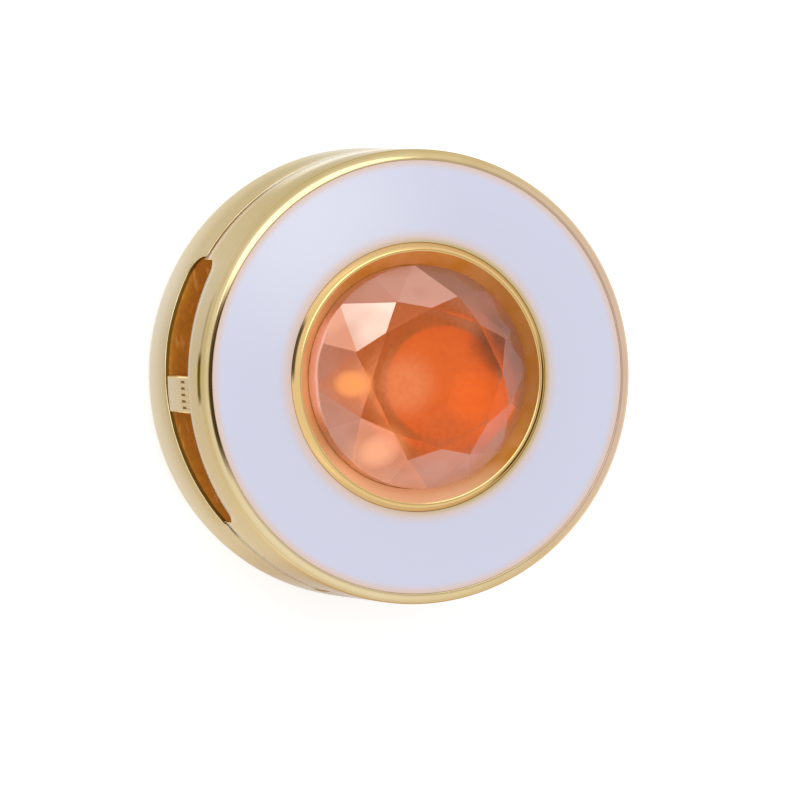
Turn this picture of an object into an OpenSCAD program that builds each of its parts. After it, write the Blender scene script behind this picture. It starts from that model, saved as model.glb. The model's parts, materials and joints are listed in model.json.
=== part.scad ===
// Round clip charm for a flat bracelet strap, lying on its flat back with the stone up.
// The front case opens on a hinge at the lower edge (-Y). The strap runs through from -X to +X.

/* [Case] */
// Outer diameter of the charm
case_d = 12; // [11.6:0.1:12.6]
// Height from the flat back to the front rim
case_h = 5.3; // [5.2:0.1:5.6]
// Height of the front case, from its rim down to the seam
front_h = 2.35; // [2.3:0.05:2.45]
// Thickness of the cast walls
wall = 0.5; // [0.45:0.01:0.52]
// Radius of the rounded edge round the back
back_edge_r = 1.2; // [0.8:0.1:1.4]
// Radius of the rounded edge of the front rim
rim_edge_r = 0.14; // [0.08:0.01:0.18]
// Open gap between the two half cases along the seam
seam_gap = 0.06; // [0.04:0.01:0.1]

/* [Enamel] */
// Width of the bare gold rim outside the enamel
rim_w = 0.28; // [0.24:0.01:0.34]
// Depth of the recess that holds the enamel
enamel_t = 0.35; // [0.3:0.01:0.4]
// How much higher the enamel stands at the bezel than at the rim
enamel_rise = 0.12; // [0.06:0.01:0.16]

/* [Stone and bezel] */
// Outer radius of the bezel, where the enamel ends
bezel_r = 3.7; // [3.66:0.01:3.8]
// Inner radius of the bezel's rounded crest
crest_r = 3.28; // [3.24:0.01:3.32]
// Height of the bezel's crest above the front rim
crest_h = 0.13; // [0.1:0.01:0.16]
// Radius of the stone at its girdle
stone_r = 2.95; // [2.9:0.01:3]
// Radius of the stone's table, to its corners
table_r = 1.85; // [1.7:0.01:1.95]
// Radius at which the star facets end
star_r = 2.25; // [2.2:0.01:2.35]
// Height of the table above the front rim
table_h = 1.45; // [1.2:0.05:1.6]
// Height of the girdle's upper edge above the front rim
girdle_top_h = 0.2; // [0.1:0.01:0.25]
// Depth of the girdle's lower edge below the front rim
girdle_low = 0.3; // [0.25:0.01:0.35]
// Depth of the stone's flat bottom below the front rim
culet_low = 0.88; // [0.8:0.01:0.92]
// Radius of the stone's flat bottom, to its corners
culet_r = 1.1; // [0.8:0.1:1.4]

/* [Strap slot] */
// Length of the slot across the side wall
slot_l = 7.1; // [6.8:0.1:7.2]
// Depth of the slot's back edge below the front rim
slot_low = 3.3; // [3.2:0.05:3.4]
// Depth of the slot's front edge below the front rim, at the middle
slot_top_mid = 1.22; // [1.21:0.01:1.3]
// Depth of the slot's front edge below the front rim, at the ends
slot_top_end = 1.88; // [1.8:0.01:2]
// Radius of the slot's corners in the back shell
slot_corner_r = 0.45; // [0.3:0.05:0.6]
// How much shorter the slot is in the front case, at each end
slot_step = 0.12; // [0:0.01:0.15]
// Width of the tab that crosses the slot at the left
tab_w = 1; // [0.9:0.05:1.1]
// Number of plain grooves pressed in the tab
tab_grooves = 3; // [1:1:4]

/* [Hinge and catch] */
// Distance of the hinge's axis inside the outer wall
hinge_in = 0.48; // [0.46:0.01:0.5]
// Radius of the hinge's barrel
barrel_r = 0.43; // [0.41:0.01:0.45]
// Radius of the hinge's pin
pin_r = 0.2; // [0.16:0.01:0.2]
// Clearance of the pin in its bore, on the radius
pin_play = 0.02; // [0.01:0.01:0.03]
// Half length of the pin
pin_half_l = 1.2; // [1:0.1:1.2]
// Half width of the knuckle on the front case
knuckle_half_w = 0.4; // [0.3:0.05:0.5]
// Half length of the barrel that fills the seam at the hinge
barrel_half_l = 2.3; // [2.2:0.05:2.3]
// How far the front case's catch tongue reaches below the seam
tongue_l = 0.5; // [0.3:0.05:0.6]

/* [Hidden] */
$fn = 96;
case_r = case_d / 2;
inner_r = case_r - wall;
enamel_r = case_r - rim_w;
seam_z = case_h - front_h;
front_bottom_z = seam_z + seam_gap / 2;
back_top_z = seam_z - seam_gap / 2;
recess_z = case_h - enamel_t;
plate_t = 0.35;        // plate under the enamel
floor_t = 0.6;         // floor of the back shell
piece_gap = 0.02;      // between pieces that are set in each other
enamel_sink = 0.03;    // how far the enamel's outer edge lies below the rim
sunk = 0.1;            // how far joined shapes run into each other
cup_floor_z = case_h - slot_top_mid + piece_gap;  // underside of the stone's cup, clear of the strap
cup_outer_r = bezel_r - 0.3;
cup_inner_z = case_h - culet_low - 2 * piece_gap; // inside of the cup's floor, under the stone
cup_ledge = 0.06;                                 // width of the ledges in the cup, round the stone
seat_r = stone_r + 0.05;                          // where the bezel's inner slope meets the stone
hinge_y = -(case_r - hinge_in);
cove_r = barrel_r + 0.09;  // room that the barrel turns in
hinge_gap = 0.05;      // between neighbouring knuckles
web = 0.7;             // reach of the webs that carry the knuckles
tongue_half_w = 1.2;
tongue_t = 0.35;
tongue_gap = 0.1;      // between the tongue and the back shell's wall
groove_w = 0.12;
groove_deep = 0.07;
facets = 8;
step = 360 / facets;
far = case_d;          // longer than anything it cuts

function at(r, a, z) = [r * cos(a), r * sin(a), z];
function arc(cx, cz, r, a0, a1, n) = [for (i = [0:n]) [cx + r * cos(a0 + (a1 - a0) * i / n),
                                                       cz + r * sin(a0 + (a1 - a0) * i / n)]];

// Half section of the front case: outer wall, rim, enamel recess, bezel, stone's seat and cup
module front_section() {
    bead_r = (bezel_r - crest_r) / 2;
    polygon(concat(
        [[inner_r, front_bottom_z], [case_r, front_bottom_z]],
        arc(case_r - rim_edge_r, case_h - rim_edge_r, rim_edge_r, 0, 90, 6),
        [[enamel_r, case_h], [enamel_r, recess_z], [bezel_r, recess_z], [bezel_r, case_h]],
        arc(bezel_r - bead_r, case_h + crest_h - bead_r, bead_r, 30, 150, 8),
        [[crest_r, case_h], [seat_r, case_h - girdle_low], [seat_r, case_h - girdle_low - cup_ledge],
         [culet_r + cup_ledge, cup_inner_z], [0, cup_inner_z],
         [0, cup_floor_z], [cup_outer_r, cup_floor_z], [cup_outer_r, recess_z - plate_t],
         [inner_r, recess_z - plate_t]]));
}

// Outline of the slot as seen along X: arched front edge, straight back edge with round corners
module slot_outline(trim) {
    half_l = slot_l / 2 - trim;
    sag = slot_top_end - slot_top_mid;
    arch_r = (pow(slot_l / 2, 2) + sag * sag) / (2 * sag);
    intersection() {
        translate([0, case_h - slot_top_mid - arch_r])
            circle(arch_r, $fn = 256);
        union() {
            translate([-half_l, case_h - slot_low + slot_corner_r])
                square([2 * half_l, slot_low - slot_corner_r]);
            translate([-half_l + slot_corner_r, case_h - slot_low])
                square([2 * (half_l - slot_corner_r), slot_low]);
            for (side = [-1, 1])
                translate([side * (half_l - slot_corner_r), case_h - slot_low + slot_corner_r])
                    circle(slot_corner_r, $fn = 48);
        }
    }
}

module slot_cut(trim) {
    rotate([90, 0, 90])
        translate([0, 0, -far / 2])
            linear_extrude(far)
                slot_outline(trim);
}

// A rod along X through the hinge's axis, between two places on X
module hinge_rod(r, x0, x1) {
    translate([x0, hinge_y, seam_z])
        rotate([0, 90, 0])
            cylinder(r = r, h = x1 - x0, $fn = 64);
}

// The tab hangs from the slot's front edge at the left, level with the outer wall
module tab() {
    tab_top = case_h - slot_top_mid + sunk;
    tab_low = case_h - slot_low + seam_gap;
    pitch = (tab_top - tab_low) / (tab_grooves + 2);
    difference() {
        intersection() {
            translate([-case_r, -tab_w / 2, tab_low])
                cube([wall, tab_w, tab_top - tab_low]);
            cylinder(r = case_r, h = case_h);
        }
        for (i = [1:tab_grooves])
            translate([-case_r - groove_w, -tab_w / 4, tab_low + (i + 0.5) * pitch - groove_w / 2])
                cube([groove_w + groove_deep, tab_w / 2, groove_w]);
    }
}

// Plain catch tongue inside the seam, opposite the hinge
module tongue() {
    intersection() {
        difference() {
            cylinder(r = inner_r - tongue_gap, h = case_h);
            cylinder(r = inner_r - tongue_gap - tongue_t, h = case_h);
        }
        translate([-tongue_half_w, 0, seam_z - tongue_l])
            cube([2 * tongue_half_w, case_r, recess_z - plate_t - seam_z + tongue_l + sunk]);
    }
}

module front_case() {
    color("gold")
        difference() {
            union() {
                difference() {
                    union() {
                        rotate_extrude()
                            front_section();
                        translate([-knuckle_half_w, hinge_y, seam_z])
                            cube([2 * knuckle_half_w, barrel_r, web]);
                    }
                    slot_cut(slot_step);
                    for (side = [-1, 1])
                        mirror([side < 0 ? 1 : 0, 0, 0])
                            hinge_rod(cove_r, knuckle_half_w, barrel_half_l + hinge_gap);
                }
                intersection() {
                    hinge_rod(barrel_r, -knuckle_half_w, knuckle_half_w);
                    cylinder(r = case_r, h = case_h);
                }
                tab();
                tongue();
            }
            hinge_rod(pin_r + pin_play, -knuckle_half_w - sunk, knuckle_half_w + sunk);
        }
}

module enamel_ring() {
    inner = bezel_r + piece_gap;
    outer = enamel_r - piece_gap;
    color("ghostwhite")
        rotate_extrude()
            polygon(concat(
                [[inner, recess_z + piece_gap], [outer, recess_z + piece_gap],
                 [outer, case_h - enamel_sink]],
                [for (i = [1:8]) let (t = i / 8)
                    [outer + (inner - outer) * t, case_h - enamel_sink + enamel_rise * sin(90 * t)]]));
}

// Round brilliant crown, raised girdle and a shallow pavilion with a flat bottom
module stone() {
    table_z = case_h + table_h;
    top_z = case_h + girdle_top_h;
    crown_slope = (table_h - girdle_top_h) / (stone_r - table_r);
    star_z = table_z - crown_slope * (star_r * cos(step / 2) - table_r);
    corners = concat(
        [for (k = [0:facets - 1]) at(table_r, k * step, table_z)],
        [for (k = [0:facets - 1]) at(star_r, (k + 0.5) * step, star_z)],
        [for (k = [0:2 * facets - 1]) at(stone_r, k * step / 2, top_z)],
        [for (k = [0:2 * facets - 1]) at(stone_r, k * step / 2, case_h - girdle_low)],
        [for (k = [0:facets - 1]) at(culet_r, k * step, case_h - culet_low)]);
    function t(k) = k % facets;
    function s(k) = facets + (k + facets) % facets;
    function g(k) = 2 * facets + (k + 2 * facets) % (2 * facets);
    function b(k) = g(k) + 2 * facets;
    function c(k) = 6 * facets + k % facets;
    around = [0:facets - 1];
    faces = concat(
        [[for (k = around) t(facets - 1 - k)]],
        [for (k = around) [t(k), t(k + 1), s(k)]],
        [for (k = around) [s(k - 1), t(k), s(k), g(2 * k)]],
        [for (k = around) [s(k), g(2 * k + 1), g(2 * k)]],
        [for (k = around) [s(k), g(2 * k + 2), g(2 * k + 1)]],
        [for (k = [0:2 * facets - 1]) [g(k), g(k + 1), b(k + 1), b(k)]],
        [for (k = around) [c(k), b(2 * k), b(2 * k + 1)]],
        [for (k = around) [c(k), b(2 * k + 1), c(k + 1)]],
        [for (k = around) [c(k + 1), b(2 * k + 1), b(2 * k + 2)]],
        [[for (k = around) c(k)]]);
    color("darksalmon")
        polyhedron(corners, faces);
}

// Half section of the back shell: flat back, rounded edge, side wall and open inside
module back_section() {
    polygon(concat(
        [[0, 0]],
        arc(case_r - back_edge_r, back_edge_r, back_edge_r, -90, 0, 10),
        [[case_r, back_top_z], [inner_r, back_top_z]],
        arc(inner_r - back_edge_r / 2, floor_t + back_edge_r / 2, back_edge_r / 2, 0, -90, 6),
        [[0, floor_t]]));
}

module back_shell() {
    color("gold")
        difference() {
            union() {
                difference() {
                    rotate_extrude()
                        back_section();
                    slot_cut(0);
                    hinge_rod(cove_r, -knuckle_half_w - hinge_gap, knuckle_half_w + hinge_gap);
                    translate([-barrel_half_l - hinge_gap, -far / 2, seam_z - cove_r])
                        cube([2 * (barrel_half_l + hinge_gap), far / 2 + hinge_y, case_h]);
                }
                intersection() {
                    union()
                        for (side = [-1, 1])
                            mirror([side < 0 ? 1 : 0, 0, 0]) {
                                hinge_rod(barrel_r, knuckle_half_w + hinge_gap, barrel_half_l);
                                translate([knuckle_half_w + hinge_gap, hinge_y - sunk, back_top_z - web])
                                    cube([barrel_half_l - knuckle_half_w - hinge_gap, barrel_r + sunk, web]);
                            }
                    cylinder(r = case_r, h = case_h);
                }
            }
            hinge_rod(pin_r + pin_play, -pin_half_l - piece_gap, pin_half_l + piece_gap);
        }
}

module hinge_pin() {
    color("goldenrod")
        hinge_rod(pin_r, -pin_half_l, pin_half_l);
}

front_case();
enamel_ring();
stone();
back_shell();
hinge_pin();
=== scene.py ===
# Round clip charm: gold-plated case, white enamel ring and a raised peach stone, dressed round its CAD frame.
# Everything is modelled in millimetres and scaled to metres as each piece is finished.
import json
import math

import bmesh
import bpy
from mathutils import Matrix, Vector


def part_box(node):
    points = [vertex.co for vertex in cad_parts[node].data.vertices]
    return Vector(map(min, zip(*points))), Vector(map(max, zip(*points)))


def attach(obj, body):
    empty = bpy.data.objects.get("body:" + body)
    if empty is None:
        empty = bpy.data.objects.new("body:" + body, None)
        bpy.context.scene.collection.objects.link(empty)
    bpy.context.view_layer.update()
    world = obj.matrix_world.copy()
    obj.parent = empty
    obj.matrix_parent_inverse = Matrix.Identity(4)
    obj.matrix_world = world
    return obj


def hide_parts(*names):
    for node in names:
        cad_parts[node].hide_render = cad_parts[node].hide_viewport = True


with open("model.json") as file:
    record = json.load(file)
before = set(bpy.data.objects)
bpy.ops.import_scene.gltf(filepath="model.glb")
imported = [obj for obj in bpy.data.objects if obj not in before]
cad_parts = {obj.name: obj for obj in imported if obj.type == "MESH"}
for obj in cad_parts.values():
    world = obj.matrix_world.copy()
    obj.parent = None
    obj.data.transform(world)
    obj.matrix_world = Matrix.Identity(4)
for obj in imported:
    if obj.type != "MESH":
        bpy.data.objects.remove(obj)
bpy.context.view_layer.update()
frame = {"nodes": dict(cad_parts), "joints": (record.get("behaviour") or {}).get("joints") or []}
millimetre = 0.001


def cadBox(node):  # a node's lowest and highest corner, in millimetres
    low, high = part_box(node)
    return low / millimetre, high / millimetre


caseRadius = cadBox("back_shell")[1].x
stoneRadius = cadBox("stone")[1].x
stoneLow, stoneTop = cadBox("stone")[0].z, cadBox("stone")[1].z
hinge = frame["joints"][0]
hingeY, hingeZ = (value / millimetre for value in hinge["pos_m"][1:])

# Heights are above the flat back, as in the CAD frame
case = {
    "rimZ": 5.3,            # plane of the front rim
    "innerRadius": 5.5,     # inside of the cast walls
    "frontLowZ": 2.965,     # the two halves stand 0.03 apart along the seam
    "backTopZ": 2.935,
    "rimInnerRadius": 5.72,
    "recessZ": 4.95,        # floor of the recess under the enamel
    "plateLowZ": 4.6,       # underside of the plate that carries the enamel
    "backEdge": 1.0,        # rounded edge round the back
    "floorZ": 0.6,
    "frontBevel": 0.02,     # worn edges of the slot and seam
    "backBevel": 0.05,
    "paleFromY": -3.7,      # their painted highlight reaches down to here, above the hinge
    "steps": 360,           # columns round the case
}


# Finished pieces

def shape(corners, closed=True):  # a few vertices joined in the XZ plane, each given as (radius, z)
    bm = bmesh.new()
    verts = [bm.verts.new((r, 0, z)) for r, z in corners]
    for a, b in zip(verts, verts[1:] + (verts[:1] if closed else [])):
        bm.edges.new((a, b))
    return bm


def arc(centreR, centreZ, radius, start, end, count):  # points on a circle, angles in degrees
    turns = [math.radians(start + (end - start) * i / count) for i in range(count + 1)]
    return [(centreR + radius * math.cos(t), centreZ + radius * math.sin(t)) for t in turns]


def turned(corners, steps, closed=True):  # the outline spun a full turn about Z
    bm = shape(corners, closed)
    bmesh.ops.spin(bm, geom=bm.verts[:] + bm.edges[:], cent=(0, 0, 0), axis=(0, 0, 1),
                   angle=2 * math.pi, steps=steps, use_merge=True, use_duplicate=False)
    bmesh.ops.remove_doubles(bm, verts=bm.verts, dist=0.0005)
    bmesh.ops.recalc_face_normals(bm, faces=bm.faces)
    return bm


def bevelled(bm, edges, width, segments=2):  # returns the new faces
    return bmesh.ops.bevel(bm, geom=edges, offset=width, offset_type="OFFSET", affect="EDGES",
                           segments=segments, profile=0.5, material=-1, clamp_overlap=True)["faces"]


def piece(bm, name, materials, body, nodes, sharp=35):
    bmesh.ops.transform(bm, matrix=Matrix.Scale(millimetre, 4), verts=bm.verts)
    mesh = bpy.data.meshes.new(name)
    bm.to_mesh(mesh)
    bm.free()
    if sharp:
        mesh.shade_smooth()
        mesh.set_sharp_from_angle(angle=math.radians(sharp))
    for material in materials:
        mesh.materials.append(material)
    made = bpy.data.objects.new(name, mesh)
    bpy.context.scene.collection.objects.link(made)
    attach(made, body)
    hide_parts(*nodes)
    return made


# Materials

def linearColor(hexCode):  # sRGB hex to linear RGBA
    channels = [int(hexCode[i:i + 2], 16) / 255 for i in (1, 3, 5)]
    return [c / 12.92 if c <= 0.04045 else ((c + 0.055) / 1.055) ** 2.4 for c in channels] + [1]


def addNode(tree, kind, settings=(), links=()):
    # settings are attributes, or input values by name or number; links are (input, output socket)
    node = tree.nodes.new(kind)
    for name, value in dict(settings).items():
        if isinstance(name, str) and hasattr(node, name):
            setattr(node, name, value)
        else:
            node.inputs[name].default_value = value
    for name, source in links:
        tree.links.new(source, node.inputs[name])
    return node


def newMaterial(name):
    material = bpy.data.materials.new(name)
    material.use_nodes = True
    material.node_tree.nodes.clear()
    return material, material.node_tree


def finished(material, settings, links):  # one Principled surface closes the material
    shader = addNode(material.node_tree, "ShaderNodeBsdfPrincipled", settings, links)
    addNode(material.node_tree, "ShaderNodeOutputMaterial", links=[("Surface", shader.outputs[0])])
    return material


# The functions below each add one step of a pattern and return its output socket

def colorRamp(tree, stops, source):  # stops are (place, hex)
    ramp = addNode(tree, "ShaderNodeValToRGB", links=[("Fac", source)])
    elements = ramp.color_ramp.elements
    while len(elements) < len(stops):
        elements.new(0.5)
    for element, (place, code) in zip(elements, stops):
        element.position = place
        element.color = linearColor(code)
    return ramp.outputs["Color"]


def noise(tree, vector, density, detail):  # density in cells to the millimetre
    return addNode(tree, "ShaderNodeTexNoise", {"Scale": density, "Detail": detail},
                   [("Vector", vector)]).outputs["Fac"]


def mapped(tree, value, start, end, high=1.0, low=0.0, kind="LINEAR"):  # start to end becomes low to high
    settings = {"interpolation_type": kind, "From Min": start, "From Max": end, "To Min": low, "To Max": high}
    return addNode(tree, "ShaderNodeMapRange", settings, [("Value", value)]).outputs["Result"]


def eased(tree, value, start, end, high=1.0):  # the same from 0, slow at both ends
    return mapped(tree, value, start, end, high, kind="SMOOTHSTEP")


def calculate(tree, operation, *values):  # on sockets and numbers
    node = addNode(tree, "ShaderNodeMath", {"operation": operation})
    for place, value in enumerate(values):
        if isinstance(value, bpy.types.NodeSocket):
            tree.links.new(value, node.inputs[place])
        else:
            node.inputs[place].default_value = value
    return node.outputs[0]


def measured(tree, operation, vector, other):  # DOT_PRODUCT with a direction or DISTANCE from a point
    return addNode(tree, "ShaderNodeVectorMath", {"operation": operation, 1: other},
                   [(0, vector)]).outputs["Value"]


def tinted(tree, tone, code, amount):  # the tone mixed with a colour
    return addNode(tree, "ShaderNodeMix", {"data_type": "RGBA", 7: linearColor(code)},
                   [("Factor", amount), (6, tone)]).outputs[2]


def bumped(tree, height, strength, depth):  # depth in millimetres
    return addNode(tree, "ShaderNodeBump", {"Strength": strength, "Distance": depth * millimetre},
                   [("Height", height)]).outputs["Normal"]


def millimetres(tree):  # Object coordinates in millimetres, their parts and the radius from the Z axis
    coordinates = addNode(tree, "ShaderNodeTexCoord").outputs["Object"]
    point = addNode(tree, "ShaderNodeVectorMath", {"operation": "SCALE", "Scale": 1 / millimetre},
                    [(0, coordinates)]).outputs[0]
    x, y, z = addNode(tree, "ShaderNodeSeparateXYZ", links=[(0, point)]).outputs
    flat = addNode(tree, "ShaderNodeCombineXYZ", links=[("X", x), ("Y", y)]).outputs[0]
    radius = addNode(tree, "ShaderNodeVectorMath", {"operation": "LENGTH"}, [(0, flat)]).outputs["Value"]
    return {"point": point, "x": x, "y": y, "z": z, "flat": flat, "radius": radius}


def lightened(tree, place, tone, finish, lights, kind):
    # each light is a direction, where it starts and ends along it in millimetres, strength and tone
    for direction, start, end, strength, name in lights:
        along = measured(tree, "DOT_PRODUCT", place["point"], direction)
        tone = tinted(tree, tone, finish[name], mapped(tree, along, start, end, strength, kind=kind))
    return tone


def softDisc(tree, place, x, y, radius, blur, strength):
    away = measured(tree, "DISTANCE", place["flat"], (x, y, 0))
    return eased(tree, away, radius + blur / 2, radius - blur / 2, strength)


# Gold-plated brass, polished and tumbled: a clear mirror with faint rings left by the polishing wheel, and
# painted reflections, shade and highlights on its rim, side wall and bezel
goldFinish = {
    "pale": "#E3CD96",
    "warm": "#DABE82",
    "rosyReflection": "#E2C2B2",          # painted reflection: the rim is rosier to the right
    "lit": "#F6E2B8",            # and painted light makes it paler to the left
    "bezel": "#F0CA88",          # the bezel is warmer, from the light off the stone
    "bezelRadii": (3.7, 3.6),    # mm, over which its tone comes in
    "wallDepths": (0.02, 0.16),  # mm under the rim, over which the side wall's tones come in
    "hem": "#D6C9B2",            # painted reflection of the floor: the side wall is paler round the back's rounded edge
    "hemHeights": (2.2, 0.8),    # mm, over which that comes in
    "hemClear": (-5.0, -3.2),    # mm along Y, over which it leaves the hinge clear
    "hemStrength": 0.75,
    "stain": "#8F8358",          # duller bands round the side wall
    "stainStrength": 0.18,
    "roughness": 0.13,
    "ringSpacing": 0.12,         # mm between polishing marks
    "ringDepth": 0.003,          # mm
}
# Painted reflection and light on the rim, each along a direction
rimLights = [
    ((1, 0, 0), 1.0, 5.5, 0.8, "rosyReflection"),
    ((-0.6, -0.8, 0), 3.0, 5.5, 0.75, "lit"),
    ((-0.6, 0.8, 0), 3.0, 5.5, 0.4, "lit"),
]
# Painted shade and reflection on the side wall, less bright than the rim, from the lower edge to the upper
wallShadeTones = [(0.0, "#B08C58"), (0.06, "#BA965F"), (0.13, "#D2B884"), (0.3, "#C2A874"),
             (0.6, "#B29B6B"), (0.78, "#BCA778"), (1.0, "#AA9562")]
# The same painted shade and reflection on the wall, seen at a low angle
glanceTones = [(0.0, "#CCB89A"), (0.07, "#DCC8A6"), (0.16, "#F2EAD8"), (0.3, "#FBF7EE"),
               (0.72, "#FFFFFF"), (0.85, "#F8F2E2"), (1.0, "#E4DAB8")]
# Lines round the case: painted shade in the seam and the bezel's creases, painted dark reflections on the rim
# and the side wall, and one long painted highlight over the seam. Each follows a radius or a height (z), with
# its place and width in mm, its angle and how far it reaches to each side in degrees, strength, and tones
# straight on and at a low angle
dark, olive, pale = ("#3A2408", "#5E3E14"), ("#6A6244", "#8C8464"), ("#E8D6A8", "#FFFFFF")
seamShade = ("#3A2408", "#E4B078")
lines = [
    ("radius", 5.775, 0.075, 175, 30, 0.95, dark),
    ("radius", 3.43, 0.05, -24, 42, 0.9, dark),
    ("radius", 3.53, 0.06, 163, 16, 0.9, dark),
    ("z", 5.01, 0.17, 175.5, 7.5, 0.85, olive),
    ("z", 5.05, 0.1, 165, 13, 0.3, olive),
    ("z", 3.04, 0.17, 132, 16, 0.95, seamShade),
    ("z", 3.05, 0.12, 217, 4, 0.8, dark),
    ("z", 3.42, 0.85, 84, 41, 0.9, pale),
]


def polishedGold():
    material, tree = newMaterial("goldPlatePolishedPaintedLight")
    place = millimetres(tree)
    # the marks run round the case, so the pattern reads only radius and height
    rings = addNode(tree, "ShaderNodeCombineXYZ",
                    links=[("X", place["radius"]), ("Y", place["z"])]).outputs[0]
    marks = noise(tree, rings, 1 / goldFinish["ringSpacing"], 3)
    clouds = noise(tree, place["point"], 0.9, 2)
    front = colorRamp(tree, [(0.35, goldFinish["pale"]), (0.7, goldFinish["warm"])], clouds)
    # painted reflection and light on the rim
    front = lightened(tree, place, front, goldFinish, rimLights, "LINEAR")
    onBezel = mapped(tree, place["radius"], *goldFinish["bezelRadii"])
    front = tinted(tree, front, goldFinish["bezel"], onBezel)

    # the side wall's painted shade and reflection run from its lower edge to its upper
    upward = mapped(tree, place["y"], -caseRadius, caseRadius)
    bands = mapped(tree, noise(tree, rings, 1.1, 1), 0.3, 0.7, goldFinish["stainStrength"])
    wall = tinted(tree, colorRamp(tree, wallShadeTones, upward), goldFinish["stain"], bands)
    # painted reflection of the floor round the back's rounded edge, kept clear of the hinge
    low = eased(tree, place["z"], *goldFinish["hemHeights"], goldFinish["hemStrength"])
    clear = eased(tree, place["y"], *goldFinish["hemClear"])
    wall = tinted(tree, wall, goldFinish["hem"], calculate(tree, "MULTIPLY", low, clear))

    onWall = eased(tree, place["z"], *(case["rimZ"] - depth for depth in goldFinish["wallDepths"]))
    color = addNode(tree, "ShaderNodeMix", {"data_type": "RGBA"},
                    [("Factor", onWall), (6, front), (7, wall)]).outputs[2]
    glance = colorRamp(tree, glanceTones, upward)
    # lines at a radius are for the front, and the back's rounding passes the same radii
    inFront = mapped(tree, place["z"], case["recessZ"], case["recessZ"] + 0.05)
    # each line paints shade, a dark reflection or a highlight
    for axis, where, width, angle, reach, strength, tones in lines:
        turn, reach = math.radians(angle), math.radians(reach)
        along = measured(tree, "DOT_PRODUCT", place["point"], (math.cos(turn), math.sin(turn), 0))
        cosine = calculate(tree, "DIVIDE", along, place["radius"])
        around = eased(tree, cosine, math.cos(reach), math.cos(reach / 2))
        apart = calculate(tree, "ABSOLUTE", calculate(tree, "SUBTRACT", place[axis], where))
        across = eased(tree, apart, width, width * 0.4, strength)
        amount = calculate(tree, "MULTIPLY", around, across)
        if axis == "radius":
            amount = calculate(tree, "MULTIPLY", amount, inFront)
        color = tinted(tree, color, tones[0], amount)
        glance = tinted(tree, glance, tones[1], amount)

    rough = mapped(tree, marks, 0, 1, goldFinish["roughness"] * 1.3, goldFinish["roughness"] * 0.7)
    return finished(material, {"Metallic": 1.0},
                    [("Base Color", color), ("Specular Tint", glance), ("Roughness", rough),
                     ("Normal", bumped(tree, marks, 0.15, goldFinish["ringDepth"]))])


# Edges of slot, seam and tab, with a painted highlight that makes them paler than the rest
edgeHighlightFinish = {"base": "#DEC68E", "litEdges": "#FAEBC6", "glance": "#F2DCB0", "roughness": 0.25}


def paintedEdgeHighlightGold():
    material, tree = newMaterial("goldPlateEdgeHighlight")
    highlightPatches = noise(tree, millimetres(tree)["point"], 1.5, 3)
    tone = colorRamp(tree, [(0.35, edgeHighlightFinish["base"]), (0.6, edgeHighlightFinish["litEdges"])], highlightPatches)
    return finished(material, {"Metallic": 1.0, "Roughness": edgeHighlightFinish["roughness"],
                               "Specular Tint": linearColor(edgeHighlightFinish["glance"])}, [("Base Color", tone)])


# The same plating inside the case, as cast: grainy and matt, with painted shade that makes it deep orange in
# its own shadow
castFinish = {
    "base": "#C08632",
    "deep": "#B47A30",
    "streak": "#E0A860",     # long marks of the polishing tool on the slot's lands
    "streakStrength": 0.55,
    "streakInside": 0.2,     # share of them left inside the case
    "edge": "#4A3A14",       # painted shade, darker against the polished outside
    "edgeShadeDepths": (0.14, 0.08),   # mm in from the outside, over which that comes in
    "edgeStrength": 0.85,
    "roughness": 0.42,
    "glow": 0.3,             # painted glow for the light that gathers in the hollow case
    "grain": 0.16,           # mm, sand-like grain of the casting
    "grainDepth": 0.006,     # mm
}


def castGoldPaintedShade():
    material, tree = newMaterial("goldPlateAsCastPaintedShade")
    place = millimetres(tree)
    grain = noise(tree, place["point"], 1 / castFinish["grain"], 4)
    tone = colorRamp(tree, [(0.35, castFinish["deep"]), (0.65, castFinish["base"])], grain)
    drawn = addNode(tree, "ShaderNodeVectorMath", {"operation": "MULTIPLY", 1: (5, 0.8, 5)},
                    [(0, place["point"])]).outputs[0]   # cells drawn out along Y
    strokes = eased(tree, noise(tree, drawn, 1.6, 2), 0.57, 0.68, castFinish["streakStrength"])
    onLand = mapped(tree, place["radius"], case["innerRadius"] - 0.2, case["innerRadius"],
                    low=castFinish["streakInside"])
    tone = tinted(tree, tone, castFinish["streak"], calculate(tree, "MULTIPLY", strokes, onLand))
    # painted shade against the polished outside
    nearEdge = eased(tree, place["radius"], *(caseRadius - depth for depth in castFinish["edgeShadeDepths"]),
                     castFinish["edgeStrength"])
    tone = tinted(tree, tone, castFinish["edge"], nearEdge)
    return finished(material, {"Metallic": 1.0, "Roughness": castFinish["roughness"],
                               "Emission Strength": castFinish["glow"]},
                    [("Base Color", tone), ("Emission Color", tone),
                     ("Normal", bumped(tree, grain, 0.4, castFinish["grainDepth"]))])


# The bezel's well round the stone, burnished by hand: painted deep orange for the light thrown back by the
# stone, and a painted glow
wellFinish = {
    "top": "#CE9C40",
    "foot": "#DCB272",
    "lit": "#FAE0B4",      # paler down to the left, where the light from above falls in
    "shaded": "#A87A40",     # and painted shade makes it duller to the right
    "metallic": 0.6,
    "roughness": 0.36,
    # painted glow
    "glow": 0.17,
}
# Painted light and shade in the well, each along a direction
wellLightAndShade = [
    ((-0.25, -0.97, 0), 1.6, 3.0, 1.0, "lit"),
    ((-1, 0.1, 0), 1.6, 3.1, 0.3, "lit"),
    ((1, 0.25, 0), 1.8, 3.2, 0.6, "shaded"),
]


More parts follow.
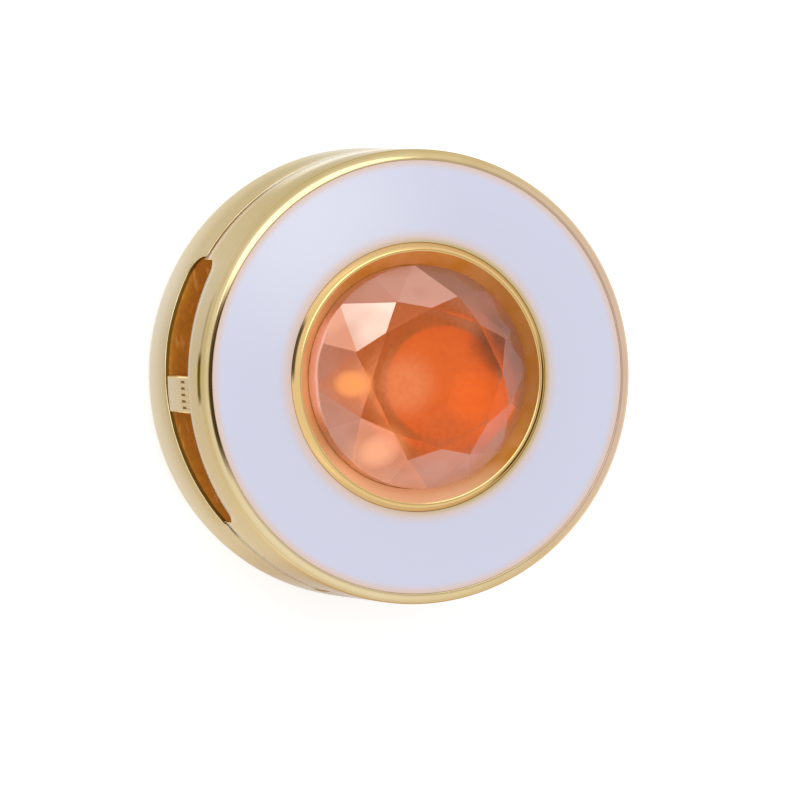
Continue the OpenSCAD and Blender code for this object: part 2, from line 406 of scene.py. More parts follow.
def burnishedWell():
    material, tree = newMaterial("goldPlateBurnishedPaintedLight")
    place = millimetres(tree)
    clouds = noise(tree, place["point"], 1.2, 2)
    tone = colorRamp(tree, [(0.35, wellFinish["top"]), (0.65, wellFinish["foot"])], clouds)
    tone = lightened(tree, place, tone, wellFinish, wellLightAndShade, "SMOOTHSTEP")
    return finished(material, {"Metallic": wellFinish["metallic"], "Roughness": wellFinish["roughness"],
                               "Emission Strength": wellFinish["glow"]},
                    [("Base Color", tone), ("Emission Color", tone)])


# Cold enamel, glossy under a clear coat, with slow ripples; a painted reflection of the gold tints it near
# the rim and the bezel
enamelFinish = {
    "white": "#D3D5E9",
    # painted reflection of the gold, near the rim and the bezel
    "edge": "#E2C8BA",
    "lit": "#E0E2F2",           # painted light: a little lighter up to the left
    "litAt": (-2.4, 3.9, 0),
    "litRadius": 4.4,           # mm
    "outerFade": 0.25,          # mm over which the painted reflection of the gold comes in at the rim
    "innerFade": 0.38,          # and at the bezel
    "gilt": "#C6B47E",          # gold-tinted close to the bezel, most to the right
    "giltWidth": 0.16,
    "giltFromX": (-2.6, 1.6),
    "ripple": 0.03,             # mm
}


def whiteEnamel(inner, outer):
    material, tree = newMaterial("coldEnamelWhitePaintedLight")
    place = millimetres(tree)
    lit = eased(tree, measured(tree, "DISTANCE", place["flat"], enamelFinish["litAt"]),
                enamelFinish["litRadius"], 0)
    white = addNode(tree, "ShaderNodeMix",
                    {"data_type": "RGBA", 6: linearColor(enamelFinish["white"]),
                     7: linearColor(enamelFinish["lit"])}, [("Factor", lit)]).outputs[2]
    nearRim = eased(tree, place["radius"], outer - enamelFinish["outerFade"], outer)
    nearBezel = eased(tree, place["radius"], inner + enamelFinish["innerFade"], inner)
    color = tinted(tree, white, enamelFinish["edge"], calculate(tree, "MAXIMUM", nearRim, nearBezel))
    closeToBezel = eased(tree, place["radius"], inner + enamelFinish["giltWidth"], inner)
    toRight = mapped(tree, place["x"], *enamelFinish["giltFromX"])
    color = tinted(tree, color, enamelFinish["gilt"], calculate(tree, "MULTIPLY", closeToBezel, toRight))
    ripples = noise(tree, place["point"], 0.6, 1)
    return finished(material, {"Roughness": 0.3, "IOR": 1.5, "Coat Weight": 0.6, "Coat Roughness": 0.06},
                    [("Base Color", color), ("Normal", bumped(tree, ripples, 0.2, enamelFinish["ripple"]))])


# Pressed glass, faceted and fire-polished: clear, with soft painted lights that gather under its facets
stoneFinish = {
    "clear": "#FFEDE0",
    "tint": "#FFDCC4",
    "sheen": "#FFC49C",    # light reflected by its polished faces
    "ior": 1.52,
    # the painted lights under the facets glow a little
    "innerLightGlow": 0.17,
    "foilOrange": "#F07420",
    "foilHot": "#FF7814",
    "foilDeep": "#D86A1E",
    "foilPeach": "#FFAA74",
    "foilUmber": "#804014",
    "foilBrown": "#C66C2A",
    "foilRose": "#C88C6C",
    # the foil's painted light glows
    "foilGlow": 0.28,
    "speck": "#F4EEEA",    # fine specks in the lacquer
}
# Soft discs of painted light and shade on the foil, each over the one before: X, Y, radius, width of its
# edge, tone, strength
foilDiscs = [
    (0.66, -0.22, 1.5, 0.16, "foilOrange", 1.0),
    (0.6, -1.75, 0.8, 0.8, "foilDeep", 0.7),
    (1.5, -0.65, 0.6, 0.7, "foilHot", 1.0),
    (-0.35, -0.2, 0.7, 0.8, "foilPeach", 0.6),
    (1.95, 0.75, 0.35, 0.8, "foilUmber", 0.85),
    (2.15, 0.2, 0.2, 0.6, "foilUmber", 0.6),
    (2.5, 0.5, 0.6, 0.7, "foilUmber", 0.6),
]
# Tones of the painted lights inside the stone
innerLightTones = {"cream": "#FFDCC8", "salmon": "#F8B294", "rose": "#DC9070", "mauve": "#C68F7C",
         "umber": "#8C5840", "honey": "#FF9A4C", "apricot": "#FFAE80", "pink": "#F4B8AA"}
# Facets with a painted light inside the stone, by kind and direction in degrees, with its tone and strength
litFacets = {
    ("kite", 135): ("cream", 0.97),
    ("upper", 150): ("salmon", 0.95),
    ("upper", 165): ("mauve", 0.5),
    ("upper", 120): ("mauve", 0.6),
    ("kite", 225): ("salmon", 0.55),
    ("kite", 180): ("rose", 0.4),
    ("upper", 195): ("mauve", 0.6),
    ("upper", 210): ("mauve", 0.7),
    ("upper", 240): ("salmon", 0.6),
    ("upper", 255): ("salmon", 0.5),
    ("kite", 270): ("mauve", 0.7),
    ("upper", 285): ("mauve", 0.7),
    ("upper", 300): ("mauve", 0.6),
    ("kite", 315): ("mauve", 0.35),
    ("kite", 90): ("mauve", 0.85),
    ("upper", 105): ("mauve", 0.7),
    ("upper", 75): ("umber", 0.8),
    ("upper", 60): ("umber", 0.8),
    ("kite", 45): ("umber", 0.65),
    ("upper", 30): ("umber", 0.6),
    ("kite", 0): ("umber", 0.85),
    ("upper", 15): ("umber", 0.7),
    ("upper", 345): ("umber", 0.6),
}
# Painted round lights on the crown: X, Y, radius, width of its edge, tone and strength
roundLights = [
    (-2.22, 0.03, 0.38, 0.4, "honey", 0.9),
    (-1.6, -1.8, 0.5, 0.8, "apricot", 0.85),
]
# A painted highlight: a pink line along the girdle at the left
girdleLine = {"toward": (-0.98, 0.17, 0), "from": (2.45, 2.75), "strength": 0.85, "depths": (0.07, 0.03)}


def facetedGlass():
    material, tree = newMaterial("glassPeachFacetedPaintedLight")
    place = millimetres(tree)
    streaks = noise(tree, place["point"], 0.8, 2)
    tone = colorRamp(tree, [(0.3, stoneFinish["clear"]), (0.7, stoneFinish["tint"])], streaks)
    glass = addNode(tree, "ShaderNodeBsdfPrincipled",
                    {"Transmission Weight": 1.0, "Roughness": 0.06, "IOR": stoneFinish["ior"],
                     "Specular Tint": linearColor(stoneFinish["sheen"])}, [("Base Color", tone)])
    # each facet's painted inner light, its tone and strength, a little uneven
    color = addNode(tree, "ShaderNodeAttribute", {"attribute_name": "facetTone"}).outputs["Color"]
    amount = addNode(tree, "ShaderNodeAttribute", {"attribute_name": "facetInnerLight"}).outputs["Fac"]
    uneven = mapped(tree, noise(tree, place["point"], 0.7, 1), 0.3, 0.6, low=0.55)
    cover = calculate(tree, "MULTIPLY", amount, uneven)
    for x, y, radius, blur, name, strength in roundLights:
        spot = softDisc(tree, place, x, y, radius, blur, strength)
        color = tinted(tree, color, innerLightTones[name], spot)
        cover = calculate(tree, "MAXIMUM", cover, spot)
    outer = eased(tree, place["radius"], *(stoneRadius - depth for depth in girdleLine["depths"]))
    beside = mapped(tree, measured(tree, "DOT_PRODUCT", place["point"], girdleLine["toward"]),
                    *girdleLine["from"], girdleLine["strength"])
    girdle = calculate(tree, "MULTIPLY", outer, beside)
    color = tinted(tree, color, innerLightTones["pink"], girdle)
    cover = calculate(tree, "MAXIMUM", cover, girdle)
    # the painted inner light, glowing a little
    light = addNode(tree, "ShaderNodeBsdfPrincipled",
                    {"Roughness": 0.3, "Emission Strength": stoneFinish["innerLightGlow"],
                     "IOR": stoneFinish["ior"]},
                    [("Base Color", color), ("Emission Color", color)])
    both = addNode(tree, "ShaderNodeMixShader",
                   links=[(0, cover), (1, glass.outputs[0]), (2, light.outputs[0])])
    addNode(tree, "ShaderNodeOutputMaterial", links=[("Surface", both.outputs[0])])
    return material


# Lacquered foil on the stone's back: satin rose-brown, with painted light as its bright orange middle,
# painted shade round it and a painted glow
def orangeFoil():
    material, tree = newMaterial("foilBackOrangePaintedLight")
    place = millimetres(tree)
    outer = mapped(tree, place["radius"], 1.6, 2.4)
    clouds = calculate(tree, "MULTIPLY", noise(tree, place["point"], 0.7, 2), outer)
    tone = colorRamp(tree, [(0.0, stoneFinish["foilBrown"]), (0.5, stoneFinish["foilRose"])], clouds)
    for x, y, radius, blur, name, strength in foilDiscs:
        tone = tinted(tree, tone, stoneFinish[name], softDisc(tree, place, x, y, radius, blur, strength))
    specks = colorRamp(tree, [(0.35, stoneFinish["speck"]), (0.6, "#FFFFFF")],
                       noise(tree, place["point"], 8, 2))
    tone = addNode(tree, "ShaderNodeMix", {"data_type": "RGBA", "blend_type": "MULTIPLY", "Factor": 0.8},
                   [(6, tone), (7, specks)]).outputs[2]
    return finished(material, {"Metallic": 0.2, "Roughness": 0.4,
                               "Emission Strength": stoneFinish["foilGlow"]},
                    [("Base Color", tone), ("Emission Color", tone)])


gold, edgeHighlight, castPaintedShade, well = polishedGold(), paintedEdgeHighlightGold(), castGoldPaintedShade(), burnishedWell()
print("materials ready")

# The slot for the strap, cut through along X: arched above, with round corners below
slot = {
    "frontHalf": 3.47,      # half length in the front case, which is a little shorter
    "backHalf": 3.55,
    "lowZ": 2.15,           # lower edge, away from the hinge
    "lowRise": 0.6,         # it climbs towards the hinge
    "riseFromY": 1.5,       # from here on
    "risePower": 1.3,       # 1 for a straight climb
    "foldZ": 2.8,           # top of the rounded corners
    "corner": 0.45,
    "archZ": 4.1,
    "archDrop": 0.24,       # the upper edge drops to its ends, then turns down
    "shoulder": 0.3,
    "shoulderFrom": 0.92,   # share of the half length where it starts to turn
    "ringZ": 4.3,           # the front's wall is even again above this height
    "slideTopZ": 4.4,       # below this the front's columns slide to the slot's ends
    "columns": 34,          # columns of the wall from the middle of the slot to its end
    "cornerColumns": 8,
    "blend": 16,            # columns past the end over which the spacing goes back to even
}


def archZ(co):
    along = abs(co.y) / slot["frontHalf"]
    turn = max(0, along - slot["shoulderFrom"]) / (1 - slot["shoulderFrom"])
    return slot["archZ"] - slot["archDrop"] * along ** 2 - slot["shoulder"] * turn ** 2


def cornerZ(co):  # the slot's lower edge, round at the ends
    t = min(1, max(0, (slot["riseFromY"] - co.y) / (slot["riseFromY"] + slot["backHalf"])))
    low = slot["lowZ"] + slot["lowRise"] * t ** slot["risePower"]
    over = max(0, abs(co.y) - (slot["backHalf"] - slot["corner"])) / slot["corner"]
    return low + (slot["foldZ"] - low) * (1 - math.sqrt(max(0, 1 - over ** 2)))


def slideColumns(bm, half, cornerColumns, top):
    # columns of the wall slide round it: they stand on the slot's ends and keep one Y through the wall
    straight = slot["columns"] - cornerColumns
    degrees = 360 / case["steps"]
    last = slot["columns"] + slot["blend"]
    for v in bm.verts:
        radius = math.hypot(v.co.x, v.co.y)
        if radius < case["innerRadius"] - 0.01 or v.co.z > top:
            continue
        column = round(math.degrees(math.atan2(abs(v.co.y), abs(v.co.x))) / degrees)
        if column > last:
            continue
        if column <= straight:
            y = (half - (slot["corner"] if cornerColumns else 0)) * column / straight
        elif cornerColumns:
            turn = math.radians(90 * (min(column, slot["columns"]) - straight) / cornerColumns)
            y = half - slot["corner"] * (1 - math.sin(turn))
        else:
            y = half
        angle = math.asin(y / radius)
        if column > slot["columns"]:
            angle += (math.radians(last * degrees) - angle) * (column - slot["columns"]) / slot["blend"]
        v.co.x = math.copysign(radius * math.cos(angle), v.co.x)
        v.co.y = math.copysign(radius * math.sin(angle), v.co.y)


def connected(start, edges):  # the vertices reached from one edge along the others
    reached = set(start.verts)
    grown = True
    while grown:
        grown = False
        for e in edges:
            if (e.verts[0] in reached) != (e.verts[1] in reached):
                reached.update(e.verts)
                grown = True
    return reached


def openWall(bm, inside, cutZ, edgeZ):
    # the wall goes where inside() is true, its edge at height cutZ moves to edgeZ() and the cut is closed
    def onWall(co):
        return math.hypot(co.x, co.y) > case["innerRadius"] - 0.001 and inside(co)
    gone = [f for f in bm.faces if all(onWall(v.co) for v in f.verts)]
    bmesh.ops.delete(bm, geom=gone, context="FACES")
    for v in {v for e in bm.edges if e.is_boundary for v in e.verts}:
        if abs(v.co.z - cutZ) < 0.001:
            v.co.z = edgeZ(v.co)
    bmesh.ops.remove_doubles(bm, verts=bm.verts, dist=0.0005)
    rails = [e for e in bm.edges if e.is_boundary
             and abs(math.hypot(*e.verts[0].co.xy) - math.hypot(*e.verts[1].co.xy)) < 0.1]
    while rails:  # one opening at a time: its outer and inner edges run at nearly the same place
        chain = connected(rails[0], rails)
        middle = sum((v.co for v in chain), Vector()) / len(chain)
        others = [e for e in rails if e.verts[0] not in chain]
        near = min(others, key=lambda e: (e.verts[0].co - middle).length)
        facing = connected(near, others)
        pair = [e for e in rails if e.verts[0] in chain] + [e for e in others if e.verts[0] in facing]
        bmesh.ops.bridge_loops(bm, edges=pair)
        rails = [e for e in others if e.verts[0] not in facing]
    bmesh.ops.recalc_face_normals(bm, faces=bm.faces)


def sharpEdges(bm, test, angle=40):
    return [e for e in bm.edges if len(e.link_faces) == 2 and e.calc_face_angle(0) > math.radians(angle)
            and all(test(v.co) for v in e.verts)]


def onSideWall(co):
    return math.hypot(co.x, co.y) > case["innerRadius"] - 0.02


# Hinge at the lower edge: two barrels on the back shell, one knuckle on the front case
hingeParts = {
    "rodRadius": 0.43,
    "coveRadius": 0.52,     # room that the barrels turn in
    "knuckleHalf": 0.4,
    "gap": 0.05,
    "barrelHalf": 2.3,
    "web": 0.7,
    "frontFrom": 3.9,       # degrees round the case where the front's wall is cut away for a barrel
    "cutTo": 23.1,          # and where both halves' cuts end
}


def aroundHinge(co, low, high):  # within two angles of the lower edge
    return low < abs(math.degrees(math.atan2(co.x, -co.y))) < high


def coveZ(co):
    reach = hingeParts["coveRadius"] ** 2 - (co.y - hingeY) ** 2
    return hingeZ + math.sqrt(max(reach, 0.03 ** 2))


def hingeRod(bm, low, high):  # a rod along X, cut back to the case's outer wall
    place = Matrix.Translation(((low + high) / 2, hingeY, hingeZ)) @ Matrix.Rotation(math.radians(90), 4, "Y")
    made = bmesh.ops.create_cone(bm, cap_ends=True, segments=32, radius1=hingeParts["rodRadius"],
                                 radius2=hingeParts["rodRadius"], depth=high - low, matrix=place)["verts"]
    along = [e for e in bm.edges if e.verts[0] in made and abs(e.verts[0].co.x - e.verts[1].co.x) > 0.1]
    bmesh.ops.subdivide_edges(bm, edges=along, cuts=10, use_grid_fill=True)
    keepInside(bm)


def block(bm, low, high):
    low, high = Vector(low), Vector(high)
    place = Matrix.Translation((low + high) / 2) @ Matrix.Diagonal((*(high - low), 1))
    return bmesh.ops.create_cube(bm, size=1, matrix=place)["verts"]


def keepInside(bm):
    for v in bm.verts:
        radius = math.hypot(v.co.x, v.co.y)
        if radius > caseRadius:
            v.co.x, v.co.y = v.co.x * caseRadius / radius, v.co.y * caseRadius / radius


# Front casting: rim, side wall, plate under the enamel, bezel and the stone's cup
bezel = {
    "outerRadius": 3.55,
    "outerZ": 5.34,
    "crestRadius": 3.36,    # middle of the rounded crest
    "crestZ": 5.53,
    "bead": 0.1,
    "beadArc": (35, 112),   # degrees of its rounding, which ends in a corner over the inner slope
    "slopeFrom": 0.42,      # share of the bead, in from the crest, where the slope's finish starts
    "seatRadius": 2.97,     # foot of the inner slope, against the stone
    "seatZ": 5.0,
    "ledge": 0.06,
    "cupFootRadius": 1.2,
    "cupFloorZ": 4.38,
    "cupLowZ": 4.1,
    "cupRadius": 3.4,
}
rim = {
    "width": 0.25,          # its rounding, across and down
    "drop": 0.2,
    "turn": 78,             # degrees of the ellipse that it follows
    "steps": 12,
    "inner": 0.02,          # rounding against the enamel
}


def frontCasting():
    inside, low = case["innerRadius"], case["frontLowZ"]
    wallEnd = archZ(Vector((0, slot["frontHalf"], 0)))
    outline = [(0, bezel["cupLowZ"]), (bezel["cupRadius"], bezel["cupLowZ"]),
               (bezel["cupRadius"], case["plateLowZ"]), (inside, case["plateLowZ"]), (inside, wallEnd),
               (inside, low), (caseRadius, low), (caseRadius, wallEnd), (caseRadius, slot["ringZ"])]
    last = math.radians(rim["turn"])
    for i in range(rim["steps"] + 1):  # part of an ellipse that ends before it is level
        turn = last * i / rim["steps"]
        outline.append((caseRadius - rim["width"] * (1 - math.cos(turn)) / (1 - math.cos(last)),
                        case["rimZ"] - rim["drop"] * (1 - math.sin(turn) / math.sin(last))))
    outline += arc(case["rimInnerRadius"] + rim["inner"], case["rimZ"] - rim["inner"], rim["inner"],
                   90, 180, 4)
    outline += [(case["rimInnerRadius"], case["recessZ"]), (bezel["outerRadius"], case["recessZ"]),
                (bezel["outerRadius"], bezel["outerZ"])]
    outline += arc(bezel["crestRadius"], bezel["crestZ"] - bezel["bead"], bezel["bead"],
                   *bezel["beadArc"], 10)
    outline += [(bezel["seatRadius"], bezel["seatZ"]), (bezel["seatRadius"], bezel["seatZ"] - bezel["ledge"]),
                (bezel["cupFootRadius"], bezel["cupFloorZ"]), (0, bezel["cupFloorZ"])]
    bm = turned(outline, case["steps"], closed=False)
    slideColumns(bm, slot["frontHalf"], 0, slot["slideTopZ"])
    openWall(bm, lambda co: abs(co.y) < slot["frontHalf"] + 0.001 and co.z < wallEnd + 0.001, wallEnd, archZ)
    openWall(bm, lambda co: aroundHinge(co, hingeParts["frontFrom"], hingeParts["cutTo"])
             and co.z < wallEnd + 0.001, wallEnd, coveZ)
    cutEdges = sharpEdges(bm, lambda co: onSideWall(co) and co.z < slot["ringZ"] - 0.05)
    litEdges = {f for f in bevelled(bm, cutEdges, case["frontBevel"])
            if f.calc_center_median().z > low + 0.04}
    for f in bm.faces:
        centre = f.calc_center_median()
        away = math.hypot(centre.x, centre.y)
        if away < caseRadius - 0.03 and centre.z < case["recessZ"] - 0.01:
            f.material_index = 1
        # the cut edges take the painted edge highlight
        elif f in litEdges and centre.y > case["paleFromY"]:
            f.material_index = 3
        elif away < bezel["crestRadius"] - bezel["bead"] * bezel["slopeFrom"]:
            f.material_index = 2
    return piece(bm, "frontCasting", [gold, castPaintedShade, well, edgeHighlight], "front", ["front_case"], sharp=25)


def hingeKnuckle():
    bm = bmesh.new()
    half = hingeParts["knuckleHalf"]
    block(bm, (-half, hingeY, hingeZ), (half, hingeY + hingeParts["rodRadius"], hingeZ + hingeParts["web"]))
    hingeRod(bm, -half, half)
    return piece(bm, "hingeKnuckle", [gold], "front", ["front_case"])


def backCasting():
    edge, fold, inside = case["backEdge"], slot["foldZ"], case["innerRadius"]
    outline = [(0, 0)] + arc(caseRadius - edge, edge, edge, -90, 0, 24)
    outline += [(caseRadius, slot["lowZ"] - 0.1), (caseRadius, slot["lowZ"]), (caseRadius, fold),
                (caseRadius, case["backTopZ"]), (inside, case["backTopZ"]), (inside, fold),
                (inside, slot["lowZ"])]
    outline += arc(inside - edge / 2, case["floorZ"] + edge / 2, edge / 2, 0, -90, 10)
    outline += [(0, case["floorZ"])]
    bm = turned(outline, case["steps"], closed=False)
    slideColumns(bm, slot["backHalf"], slot["cornerColumns"], case["rimZ"])
    openWall(bm, lambda co: abs(co.y) < slot["backHalf"] + 0.001 and co.z > slot["lowZ"] - 0.001,
             slot["lowZ"], cornerZ)
    openWall(bm, lambda co: aroundHinge(co, -1, hingeParts["cutTo"]) and co.z > fold - 0.001, fold,
             lambda co: hingeZ - hingeParts["coveRadius"])
    cutEdges = sharpEdges(bm, lambda co: onSideWall(co) and co.z > slot["lowZ"] - 0.2)
    litEdges = set(bevelled(bm, cutEdges, case["backBevel"]))
    for f in bm.faces:
        centre = f.calc_center_median()
        away = math.hypot(centre.x, centre.y)
        # the outer rounding is as high as the floor, but lies outside the inner wall
        lowest = case["floorZ"] - 0.1 if away < inside + 0.01 else edge
        if away < caseRadius - 0.06 and centre.z > lowest:
            f.material_index = 1
        # the cut edges take the painted edge highlight
        elif f in litEdges and centre.y > case["paleFromY"]:
            f.material_index = 2
    return piece(bm, "backCasting", [gold, castPaintedShade, edgeHighlight], "back", ["back_shell"], sharp=25)


def hingeBarrels():
    bm = bmesh.new()
    inner, outer = hingeParts["knuckleHalf"] + hingeParts["gap"], hingeParts["barrelHalf"]
    for low, high in ((-outer, -inner), (inner, outer)):
        block(bm, (low, hingeY - 0.1, case["backTopZ"] - hingeParts["web"]),
              (high, hingeY + hingeParts["rodRadius"], case["backTopZ"]))
        hingeRod(bm, low, high)
    return piece(bm, "hingeBarrels", [gold], "back", ["back_shell"])


# Tab across the left slot, with plain grooves, and the catch tongue opposite the hinge
tab = {
    "halfWidth": 0.5,
    "lowZ": 2.34,
    "highZ": 4.16,
    "inset": 0.01,          # from the outside of the case
    "edge": 0.06,
    "grooves": (-0.34, -0.17, 0, 0.17, 0.34),   # middles of the plain grooves across the tab
    "grooveWidth": 0.07,
    "grooveDepth": 0.05,
    "grooveLowZ": 3.5,
    "grooveHighZ": 4.08,
}


def caseTab():
    bm = bmesh.new()
    half = tab["halfWidth"]
    block(bm, (-caseRadius, -half, tab["lowZ"]), (-case["innerRadius"], half, tab["highZ"]))
    sides = [y + side * tab["grooveWidth"] / 2 for y in tab["grooves"] for side in (-1, 1)]
    cuts = [((0, y, 0), (0, 1, 0)) for y in sides]
    cuts += [((0, 0, z), (0, 0, 1)) for z in (tab["grooveLowZ"], tab["grooveHighZ"])]
    for point, normal in cuts:
        bmesh.ops.bisect_plane(bm, geom=bm.verts[:] + bm.edges[:] + bm.faces[:],
                               plane_co=point, plane_no=normal)
    middle = -(caseRadius + case["innerRadius"]) / 2
    for v in bm.verts:
        radius = caseRadius - tab["inset"] if v.co.x < middle else case["innerRadius"]
        v.co.x = -math.sqrt(radius ** 2 - v.co.y ** 2)
    bm.normal_update()
    outer = [e for e in sharpEdges(bm, lambda co: True, 60)
             if any(f.normal.x < -0.9 for f in e.link_faces)]
    # the tab's outer edges take the painted edge highlight
    for f in bevelled(bm, outer, tab["edge"], 3):
        f.material_index = 1
    bm.normal_update()
    sunk = [f for f in bm.faces if f.normal.x < -0.9
            and tab["grooveLowZ"] < f.calc_center_median().z < tab["grooveHighZ"]
            and any(abs(f.calc_center_median().y - y) < tab["grooveWidth"] / 2 for y in tab["grooves"])]
    pushed = bmesh.ops.extrude_face_region(bm, geom=sunk)["geom"]
    bmesh.ops.translate(bm, vec=(tab["grooveDepth"], 0, 0),
                        verts=[g for g in pushed if isinstance(g, bmesh.types.BMVert)])
    bmesh.ops.delete(bm, geom=sunk, context="FACES")
    bmesh.ops.recalc_face_normals(bm, faces=bm.faces)
    return piece(bm, "caseTab", [gold, edgeHighlight], "front", ["front_case"])


tongue = {"halfWidth": 1.2, "gap": 0.1, "thickness": 0.35, "reach": 0.5, "edge": 0.04}


def catchTongue():
    outer = case["innerRadius"] - tongue["gap"]
    inner = outer - tongue["thickness"]
    low, high = hingeZ - tongue["reach"], case["plateLowZ"] + 0.1
    bm = shape([(inner, low), (outer, low), (outer, high), (inner, high)])
    span = math.asin(tongue["halfWidth"] / outer)
    start = Matrix.Rotation(math.radians(90) - span, 3, "Z")
    bmesh.ops.rotate(bm, verts=bm.verts, cent=(0, 0, 0), matrix=start)
    bmesh.ops.spin(bm, geom=bm.verts[:] + bm.edges[:], cent=(0, 0, 0), axis=(0, 0, 1),
                   angle=2 * span, steps=24, use_duplicate=False)
    bmesh.ops.holes_fill(bm, edges=[e for e in bm.edges if e.is_boundary], sides=4)
    bmesh.ops.recalc_face_normals(bm, faces=bm.faces)
    bevelled(bm, sharpEdges(bm, lambda co: True, 60), tongue["edge"])
    return piece(bm, "catchTongue", [castPaintedShade], "front", ["front_case"])


frontCasting()
hingeKnuckle()
backCasting()
hingeBarrels()
caseTab()
catchTongue()
print("castings ready")

# Enamel: fills the recess, a shallow dome that climbs to the bezel
enamel = {"outerZ": 5.285, "innerZ": 5.35, "crown": 0.03, "gap": 0.005, "lift": 0.02, "steps": 24}


def enamelFill():
    outer, inner = case["rimInnerRadius"] - enamel["gap"], bezel["outerRadius"] + enamel["gap"]
    low = case["recessZ"] + enamel["lift"]
    top = []
    for i in range(enamel["steps"] + 1):
        t = i / enamel["steps"]
        z = enamel["outerZ"] + (enamel["innerZ"] - enamel["outerZ"]) * t
        top.append((outer + (inner - outer) * t, z + enamel["crown"] * math.sin(math.pi * t)))
    bm = turned([(inner, low), (outer, low)] + top, case["steps"])
    return piece(bm, "enamelFill", [whiteEnamel(inner, outer)], "front", ["enamel_ring"])


enamelFill()
print("enamel ready")

# Stone: round brilliant crown on a raised girdle, foiled on its back
stone = {
    "tableRadius": 1.85,
    "starRadius": 2.25,
    "starZ": 6.49,
    "girdleTopZ": 5.5,
    "girdleLowZ": 5.0,
    "girdleSides": 48,
    "culetRadius": 1.1,
    "edge": 0.012,          # fire polishing leaves the facets' edges a little rounded
    "stripArea": 0.1,       # square mm: a smaller face is such an edge
    "crownTilts": (30, 80),   # degrees: facets between the table and the girdle
}


def cutStone():
    bm = bmesh.new()
    corner = stoneRadius / math.cos(math.radians(11.25))   # the girdle's 16 sides, made round below
    rings = [(stone["tableRadius"], stoneTop, 8, 0), (stone["starRadius"], stone["starZ"], 8, 22.5),
             (corner, stone["girdleTopZ"], 16, 0), (corner, stone["girdleLowZ"], 16, 0),
             (stone["culetRadius"], stoneLow, 8, 0)]
    for radius, z, count, turn in rings:
        place = Matrix.Translation((0, 0, z)) @ Matrix.Rotation(math.radians(turn), 4, "Z")
        bmesh.ops.create_circle(bm, segments=count, radius=radius, matrix=place)
    bmesh.ops.convex_hull(bm, input=bm.verts[:])
    bmesh.ops.dissolve_limit(bm, angle_limit=math.radians(1.5), verts=bm.verts, edges=bm.edges)
    for i in range(stone["girdleSides"]):
        turn = 2 * math.pi * i / stone["girdleSides"]
        out = Vector((math.cos(turn), math.sin(turn), 0))
        bmesh.ops.bisect_plane(bm, geom=bm.verts[:] + bm.edges[:] + bm.faces[:], plane_co=stoneRadius * out,
                               plane_no=out, clear_outer=True)
        bmesh.ops.holes_fill(bm, edges=[e for e in bm.edges if e.is_boundary])
    bmesh.ops.remove_doubles(bm, verts=bm.verts, dist=0.002)
    bmesh.ops.recalc_face_normals(bm, faces=bm.faces)
    bevelled(bm, bm.edges[:], stone["edge"], 1)
    bm.normal_update()
    toneLayer = bm.faces.layers.float_color.new("facetTone")
    innerLightLayer = bm.faces.layers.float.new("facetInnerLight")
    strips = []
    for f in bm.faces:
        middle = f.calc_center_median()
        f.material_index = 1 if middle.z < stone["girdleLowZ"] + 0.001 else 0
        f[toneLayer] = linearColor(innerLightTones["honey"])
        tilt = math.degrees(f.normal.angle((0, 0, 1)))
        if f.calc_area() < stone["stripArea"]:
            strips.append(f)
            continue
        if not stone["crownTilts"][0] < tilt < stone["crownTilts"][1]:
            continue
        across = 15 * round(math.degrees(math.atan2(middle.y, middle.x)) / 15) % 360
        kind = "kite" if across % 45 == 0 else "upper"
        # each crown facet's painted inner light
        name, strength = litFacets.get((kind, across), ("mauve", 0))
        f[toneLayer] = linearColor(innerLightTones[name])
        f[innerLightLayer] = strength
    for f in strips:  # the rounded edges follow the facet beside them that has the weaker light
        beside = [other for e in f.edges for other in e.link_faces
                  if other.calc_area() > stone["stripArea"]]
        if len(beside) == 2:
            weaker = min(beside, key=lambda other: other[innerLightLayer])
            f[toneLayer], f[innerLightLayer] = weaker[toneLayer], weaker[innerLightLayer]
    return piece(bm, "cutStone", [facetedGlass(), orangeFoil()], "front", ["stone"], sharp=0)


cutStone()
pin = frame["nodes"]["hinge_pin"]
pin.data.materials.clear()
pin.data.materials.append(gold)
print("stone and pin ready")

# Studio: white floor, white light all round, a window in front and above, and a dimmer patch of room
studio = {
    "floorGlow": 0.62,
    "sky": 0.9,
    "room": 0.6,                          # darker over the front
    "roomToward": (0.334, -0.054, 0.941),
    "roomEdge": (0.88, 0.98),             # cosines, from its outside in
    "floorSize": 600,
}


def studioFloor():
    bm = bmesh.new()
    bmesh.ops.create_grid(bm, x_segments=1, y_segments=1, size=studio["floorSize"] * millimetre)
    mesh = bpy.data.meshes.new("floor")
    bm.to_mesh(mesh)
    bm.free()
    floor = bpy.data.objects.new("floor", mesh)
    bpy.context.scene.collection.objects.link(floor)
    material, tree = newMaterial("paperWhite")
    fibres = noise(tree, millimetres(tree)["point"], 0.5, 2)
    finished(material, {"Base Color": linearColor("#CBCBCB"), "Roughness": 0.9,
                        "Emission Strength": studio["floorGlow"]},
             [("Emission Color", colorRamp(tree, [(0.0, "#FAFAFA"), (1.0, "#FFFFFF")], fibres))])
    mesh.materials.append(material)


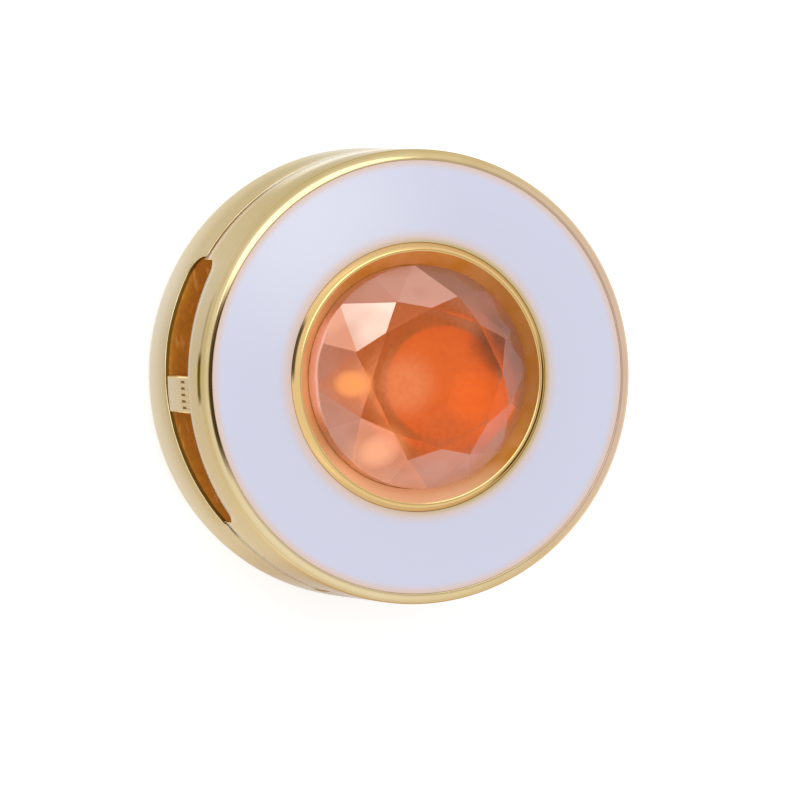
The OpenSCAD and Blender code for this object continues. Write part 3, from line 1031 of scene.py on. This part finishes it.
def studioWorld():
    world = bpy.data.worlds.new("studio")
    bpy.context.scene.world = world
    world.use_nodes = True
    tree = world.node_tree
    tree.nodes.clear()
    direction = addNode(tree, "ShaderNodeTexCoord").outputs["Generated"]
    along = measured(tree, "DOT_PRODUCT", direction, studio["roomToward"])
    strength = mapped(tree, along, *studio["roomEdge"], studio["room"], studio["sky"], "SMOOTHSTEP")
    light = addNode(tree, "ShaderNodeBackground", {"Color": (1, 1, 1, 1)}, [("Strength", strength)])
    addNode(tree, "ShaderNodeOutputWorld", links=[("Surface", light.outputs[0])])


def windowLight(name, direction, size, strength, distance=140):
    lamp = bpy.data.lights.new(name, "AREA")
    lamp.shape = "DISK"
    lamp.size = size * millimetre
    lamp.energy = strength
    made = bpy.data.objects.new(name, lamp)
    bpy.context.scene.collection.objects.link(made)
    made.location = Vector(direction).normalized() * distance * millimetre
    made.rotation_euler = (-Vector(direction)).to_track_quat("-Z", "Y").to_euler()
    made.visible_camera = False


camera = {
    "azimuth": 19.53,      # degrees round to the left of the charm's front
    "elevation": 3.09,
    "roll": 4.17,
    "distance": 286,
    "lens": 488.5,
    "shiftX": -0.0227,
    "shiftY": -0.0288,
}


def placeCamera():
    turn, rise, roll = (math.radians(camera[k]) for k in ("azimuth", "elevation", "roll"))
    toward = Vector((-math.sin(turn) * math.cos(rise), math.sin(rise), math.cos(turn) * math.cos(rise)))
    level = Vector((math.cos(turn), 0, math.sin(turn)))
    upright = toward.cross(level)
    right = math.cos(roll) * level - math.sin(roll) * upright
    up = math.sin(roll) * level + math.cos(roll) * upright
    made = bpy.data.objects.new("camera", bpy.data.cameras.new("camera"))
    bpy.context.scene.collection.objects.link(made)
    place = Matrix((right, up, toward)).transposed().to_4x4()
    place.translation = (Vector((0, 0, case["rimZ"])) + camera["distance"] * toward) * millimetre
    made.matrix_world = place
    made.data.lens = camera["lens"]
    made.data.shift_x, made.data.shift_y = camera["shiftX"], camera["shiftY"]
    made.data.clip_start, made.data.clip_end = 0.005, 10
    bpy.context.scene.camera = made


studioFloor()
studioWorld()
windowLight("windowAbove", (-0.02, 0.4, 0.91), 106, 0.0325)
placeCamera()
bpy.context.scene.view_settings.view_transform = "Standard"
print("studio ready")
